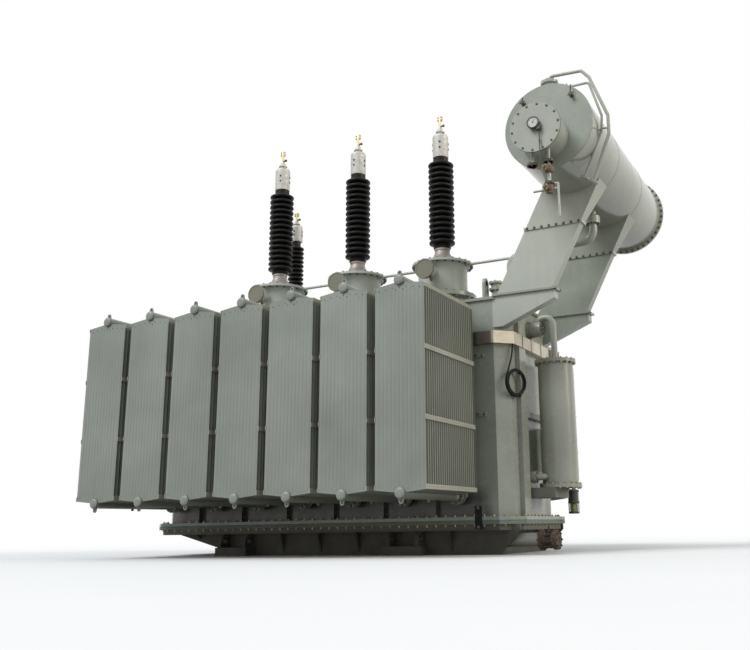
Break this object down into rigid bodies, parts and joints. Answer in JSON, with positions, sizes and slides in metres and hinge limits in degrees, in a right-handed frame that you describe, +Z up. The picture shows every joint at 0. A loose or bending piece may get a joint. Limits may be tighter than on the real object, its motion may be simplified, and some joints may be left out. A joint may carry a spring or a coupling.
{
  "type": "oil-filled power transformer",
  "caption": "Oil-filled high-voltage power transformer with a bell tank, panel radiators on both long sides, shedded bushings on turrets and an overhead oil conservator.",
  "frame": {"origin": "on the ground under the middle of the tank, at the middle of the base's flat underside", "axes": "+X along the radiator row towards the conservator end, -Y towards the front radiators, +Z up"},
  "size_m": [5.9319, 4.044, 5.1807],
  "materials": {
    "tank_paint": "satin",
    "radiator_paint": "satin",
    "cream_paint": "satin",
    "dark_paint": "matte",
    "insulator_rubber": "satin",
    "cable_rubber": "satin",
    "gasket_rubber": "matte",
    "cap_aluminium": "satin",
    "breather_glass": "gloss"
  },
  "bodies": {
    "root": {"arm_far": "tank_paint", "arm_near": "tank_paint", "base_tank": "tank_paint", "bell_tank": "tank_paint", "breather_pipes": "tank_paint", "bushing_cap_1": "cap_aluminium", "bushing_cap_2": "cap_aluminium", "bushing_cap_3": "cap_aluminium", "bushing_cap_neutral": "cap_aluminium", "cable_duct": "cream_paint", "conservator_end_far": "tank_paint", "conservator_shell": "tank_paint", "control_box": "cream_paint", "control_cable": "cable_rubber", "control_cable_coil": "cable_rubber", "cover_valve": "dark_paint", "drain_valve": "dark_paint", "flange_gasket": "gasket_rubber", "gel_breather": "breather_glass", "insulator_1": "insulator_rubber", "insulator_2": "insulator_rubber", "insulator_3": "insulator_rubber", "insulator_neutral": "insulator_rubber", "jacking_points": "tank_paint", "level_gauge": "dark_paint", "low_voltage_bushings": "insulator_rubber", "manhole_near": "tank_paint", "neutral_turret": "tank_paint", "oil_pipe": "tank_paint", "purifier_pipes": "cream_paint", "purifier_stand": "dark_paint", "purifier_vessel": "cream_paint", "radiator_back_1": "radiator_paint", "radiator_back_2": "radiator_paint", "radiator_back_3": "radiator_paint", "radiator_back_4": "radiator_paint", "radiator_back_5": "radiator_paint", "radiator_back_6": "radiator_paint", "radiator_back_7": "radiator_paint", "radiator_front_1": "radiator_paint", "radiator_front_2": "radiator_paint", "radiator_front_3": "radiator_paint", "radiator_front_4": "radiator_paint", "radiator_front_5": "radiator_paint", "radiator_front_6": "radiator_paint", "radiator_front_7": "radiator_paint", "tank_cover": "tank_paint", "turret_1": "tank_paint", "turret_2": "tank_paint", "turret_3": "tank_paint"}
  },
  "joints": []
}
